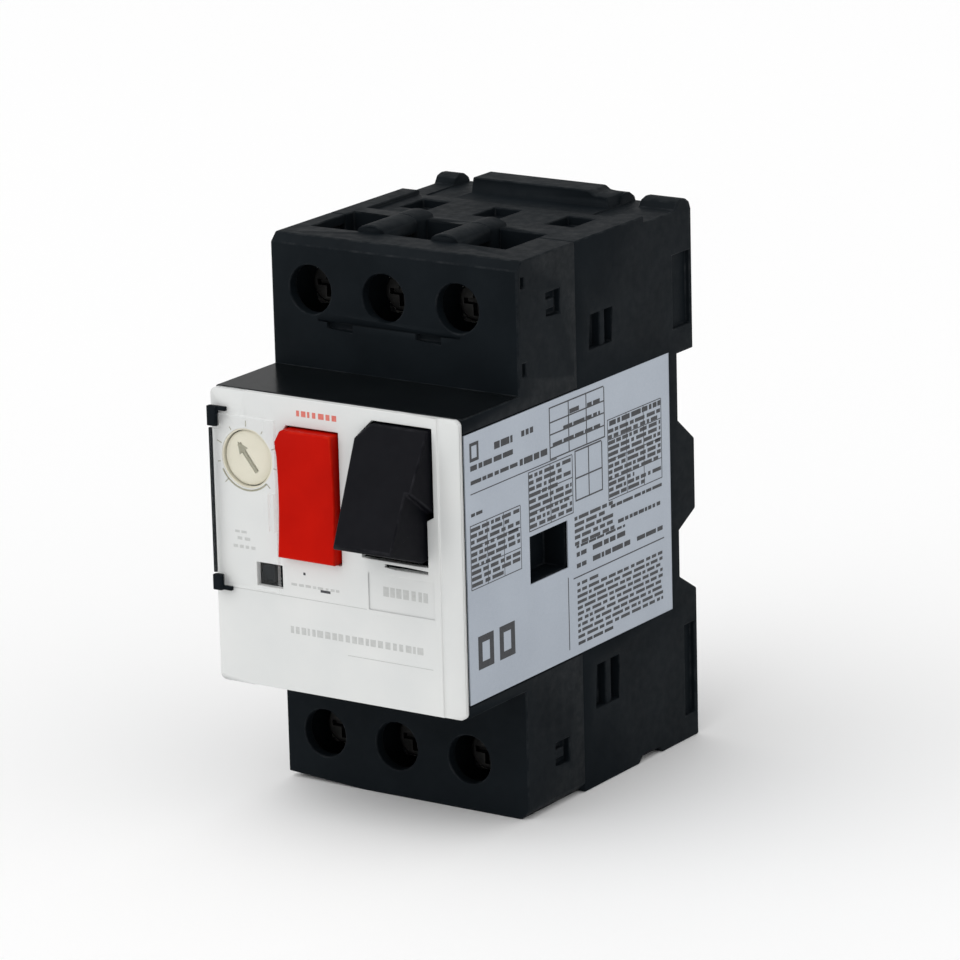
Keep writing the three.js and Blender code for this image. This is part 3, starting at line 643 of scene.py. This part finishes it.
def fascia_print():
    """Faint rules and blank dashes, where the fascia has its lettering."""
    rng = random.Random(FASCIA_SEED)
    pale = list(FASCIA_RULES)
    for line in FASCIA_LINES:
        pale += narrow_dashes(rng, *line)
    caption = narrow_dashes(rng, *CAPTION_LINE)
    red = narrow_dashes(rng, *FASCIA_RED_LINE)
    marks_piece("fascia_print_pale", on_fascia(pale), PALE_INK)
    marks_piece("fascia_caption", on_fascia(caption, CAPTION_SUNK), PALE_INK)
    marks_piece("fascia_print_red", on_fascia(red), RED_INK)
    marks_piece("fascia_print_dark", on_fascia(FASCIA_SPOTS), GREY_INK)


# ---- The object ----
def hood_top(face):
    """Whether a face is on the polished top of the middle section."""
    away = abs(face.calc_center_median().z - at(0, 0, HOOD_TOP).z)
    return face.normal.z > FACING and away < HOOD_TOLERANCE * MM


def cases():
    """The two halves of the case and the fascia."""
    rounded_copy("rear_housing", [BLACK], radius=0.25)
    rounded_copy("front_housing", [BLACK, BLACK_GLOSS], radius=0.25, gloss=hood_top)
    rounded_copy("fascia", [WHITE], radius=0.13, seams=FASCIA_SEAMS)


def controls():
    """What a hand or the rail moves."""
    rounded_copy("start_button", [START], radius=0.3, segments=3)
    rounded_copy("stop_button", [RED], radius=0.35, segments=3)
    rounded_copy("setting_dial", [CREAM], radius=0.12, shortest=0.3)
    rounded_copy("test_slider", [BLACK], radius=0.15)
    flap()
    dial_collar()
    dial_marks()
    # Painted shade: the hinge's knuckles are real parts, but their black case finish stands in for the
    # shade that darkens them.
    rounded_copy("flap_hinge_upper", [BLACK], radius=0.12)
    rounded_copy("flap_hinge_lower", [BLACK], radius=0.12)
    rounded_copy("rail_latch", [BLACK], radius=0.2)


def flap():
    """The clear pane with its thumb lip and edge faces of painted glow, and a black rod along its hinge
    as painted shade.
    """
    front, back = FLAP_DEPTH
    side, low, high = FLAP_HIGH[0], FLAP_LOW[2], FLAP_HIGH[2]
    outline = [
        (side, low), (side, high), (KNUCKLE_SIDE, high), (KNUCKLE_SIDE, HINGE_HIGH),
        (HINGE_SIDE, HINGE_HIGH), (HINGE_SIDE, HINGE_LOW), (KNUCKLE_SIDE, HINGE_LOW),
        (KNUCKLE_SIDE, low),
    ]
    lip_low = (LIP_X[0], front - LIP_PROUD, LIP_HEIGHTS[0])
    lip_high = (LIP_X[1], front + LIP_ROOT, LIP_HEIGHTS[1])
    bm = bmesh.new()
    add_plate(bm, outline, front, back)
    add_box(bm, lip_low, lip_high)
    bmesh.ops.recalc_face_normals(bm, faces=bm.faces)
    # Painted glow: faces that face neither front nor back, the pane's edges, take the paler, more
    # opaque plastic.
    for face in bm.faces:
        face.material_index = 0 if abs(face.normal.y) > FACING else 1
    pane = finished_mesh(bm, "flap_pane")
    soften(piece("flap_pane", pane, [CLEAR, PAINTED_EDGE_GLOW], "dial_flap", ("dial_flap",)))
    # Painted shade: the black rod along the hinge axis stands in for the dark line that shade draws
    # along the clear pane's hinge.
    bm = bmesh.new()
    add_rod(bm, at(*HINGE_AXIS, HINGE_LOW), at(*HINGE_AXIS, HINGE_HIGH), HINGE_RADIUS)
    strip = finished_mesh(bm, "flap_hinge_painted_shade")
    soften(piece("flap_hinge_painted_shade", strip, [BLACK], "dial_flap"))


def dial_collar():
    """A pale ring that lines the fascia's hole around the dial."""
    x, height = DIAL
    inner, outer = COLLAR_RADII
    front, back = COLLAR_DEPTHS
    bm = bmesh.new()
    rims = []
    for radius, depth in ((inner, front), (outer, front), (outer, back), (inner, back)):
        rims.append([
            bm.verts.new(at(x + radius * math.cos(angle), depth, height + radius * math.sin(angle)))
            for angle in around(COLLAR_SIDES)])
    skin(bm, rims + rims[:1])
    piece("dial_collar", closed_mesh(bm, "dial_collar"), [CREAM], "root")


def dial_marks():
    """An arrow on the dial, its scale on the fascia, and an arc of painted shade below the dial."""
    bm = bmesh.new()
    add_plate(bm, ARROW, DIAL_FRONT - INK, DIAL_FRONT + INK, DIAL, ARROW_ANGLE)
    piece("dial_arrow", closed_mesh(bm, "dial_arrow"), [OLIVE_INK_AND_SHADE], "setting_dial")
    bm = bmesh.new()
    add_ticks(bm)
    add_shade_arc(bm)
    piece("dial_scale_and_shade_arc", closed_mesh(bm, "dial_scale_and_shade_arc"), [OLIVE_INK_AND_SHADE], "root")


def add_ticks(bm):
    """Ticks around the dial, long and short by turns."""
    first, last = SCALE_ANGLES
    for step in range(SCALE_STEPS + 1):
        angle = math.radians(first + (last - first) / SCALE_STEPS * step)
        end = TICK_RADIUS + TICK_LENGTHS[step % 2]
        tick = [(TICK_RADIUS, -TICK_HALF_WIDTH), (end, -TICK_HALF_WIDTH),
                (end, TICK_HALF_WIDTH), (TICK_RADIUS, TICK_HALF_WIDTH)]
        add_plate(bm, tick, FASCIA_FRONT - INK, FASCIA_FRONT + INK, DIAL, angle)


def add_shade_arc(bm):
    """Painted shade: a line of short olive pieces around the lower side of the dial, for the shade
    along the dial's lower rim.
    """
    first, last = SHADE_ARC_ANGLES
    inner, outer = SHADE_ARC_RADII
    for step in range(SHADE_ARC_PIECES):
        low, high = (math.radians(first + (last - first) * (step + share) / SHADE_ARC_PIECES)
                     for share in (0, SHADE_ARC_FILL))
        arc = [(radius * math.cos(angle), radius * math.sin(angle))
               for radius, angle in ((inner, low), (outer, low), (outer, high), (inner, high))]
        add_plate(bm, arc, FASCIA_FRONT - INK, FASCIA_FRONT + INK, DIAL)


def coil_mesh(name, low, high, along, wire, turns, steps=24, sides=10):
    """A closed tube wound along y or z between two corners, with level turns at its ends."""
    across = (Vector((1, 0, 0)), Vector((0, along.z, along.y)))
    span = (high - low).dot(along)
    radius = (high.x - low.x) / 2 - wire
    start = (low + high) / 2 - along * span / 2 + along * wire
    travel = span - 2 * wire
    bm = bmesh.new()
    rings = []
    for step in range(turns * steps + 1):
        turn = step / steps
        angle = 2 * math.pi * turn
        outward = across[0] * math.cos(angle) + across[1] * math.sin(angle)
        rise = min(max((turn - COIL_FLAT_TURN) / (turns - 2 * COIL_FLAT_TURN), 0.0), 1.0)
        centre = start + outward * radius + along * travel * rise
        rings.append([
            bm.verts.new(centre + (outward * math.cos(tilt) + along * math.sin(tilt)) * wire)
            for tilt in around(sides)])
    skin(bm, rings, smooth=True)
    bm.faces.new(rings[0])
    bm.faces.new(rings[-1])
    return closed_mesh(bm, name)


def springs():
    """Compression springs, each wound to fill its CAD node's box, in place of the node."""
    axes = {"y": (0.0, 1.0, 0.0), "z": (0.0, 0.0, 1.0)}
    for node, axis, wire, turns, joint, keep, fixed in SPRINGS:
        low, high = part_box(node)
        name = node + "_looks"
        mesh = coil_mesh(name, low, high, Vector(axes[axis]), wire * MM, turns)
        made = piece(name, mesh, [STEEL], "root", (node,))
        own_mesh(made)


def screws():
    """The terminal screws of the line and the load side, their steel coloured near black as painted
    shade for their deep holes.
    """
    for side in ("line", "load"):
        for pole in (1, 2, 3):
            rounded_copy(f"{side}_screw_{pole}", [SCREW_PAINTED_SHADE], radius=0.1)


def inner_parts():
    """CAD nodes that keep their shape and take a finish from their slot."""
    by_slot = {
        "steel_zinc": STEEL, "contact_copper": COPPER, "bimetal_strip": BIMETAL,
        "inner_plastic": NATURAL, "label_silver": FILM, "case_black": BLACK, "start_black": START,
    }
    for part in frame["record"]["subparts"]:
        node = frame["nodes"][part["node"]]
        if not node.hide_render:
            node.data.materials.clear()
            node.data.materials.append(by_slot[part["material_slot"]])


# ---- Surroundings ----
def floor():
    """A plain pale floor under the case."""
    bpy.ops.mesh.primitive_plane_add(size=FLOOR_SIZE, location=(0, 0, cad_low.z))
    ground = bpy.context.object
    ground.name = "floor"
    finish = Finish("floor", roughness=0.75)
    finish.colour(finish.mix(finish.noise(400.0), rgb(0.97, 0.97, 0.97), rgb(0.99, 0.99, 0.99)))
    ground.data.materials.append(finish.material)


def sun(name, direction, strength, softness):
    """Light that comes from a direction, far away, with shadows as soft as its angle."""
    data = bpy.data.lights.new(name, "SUN")
    data.energy = strength
    data.angle = math.radians(softness)
    lamp = bpy.data.objects.new(name, data)
    bpy.context.scene.collection.objects.link(lamp)
    lamp.rotation_mode = "QUATERNION"
    lamp.rotation_quaternion = (-Vector(direction)).to_track_quat("-Z", "Y")


def lights():
    """An even white sky and two soft suns."""
    world = bpy.data.worlds.new("studio")
    bpy.context.scene.world = world
    world.use_nodes = True
    background = world.node_tree.nodes["Background"]
    background.inputs["Color"].default_value = (1, 1, 1, 1)
    background.inputs["Strength"].default_value = SKY_STRENGTH
    sun("key", *KEY_LIGHT)
    sun("side", *SIDE_LIGHT)
    bpy.context.scene.view_settings.view_transform = "Standard"


def camera():
    """The view from the front and the right, a little from above."""
    azimuth, elevation, roll = (math.radians(angle) for angle in VIEW_ANGLES)
    back = Vector((
        math.sin(azimuth) * math.cos(elevation), -math.cos(azimuth) * math.cos(elevation),
        math.sin(elevation)))
    data = bpy.data.cameras.new("camera")
    data.sensor_width = SENSOR
    data.lens = LENS
    made = bpy.data.objects.new("camera", data)
    bpy.context.scene.collection.objects.link(made)
    made.location = VIEW_TARGET + back * VIEW_DISTANCE
    made.rotation_mode = "QUATERNION"
    made.rotation_quaternion = (-back).to_track_quat("-Z", "Y") @ Quaternion((0, 0, 1), roll)
    bpy.context.scene.camera = made


camera()
floor()
lights()
cases()
controls()
screws()
springs()
inner_parts()
fascia_print()
label_print()
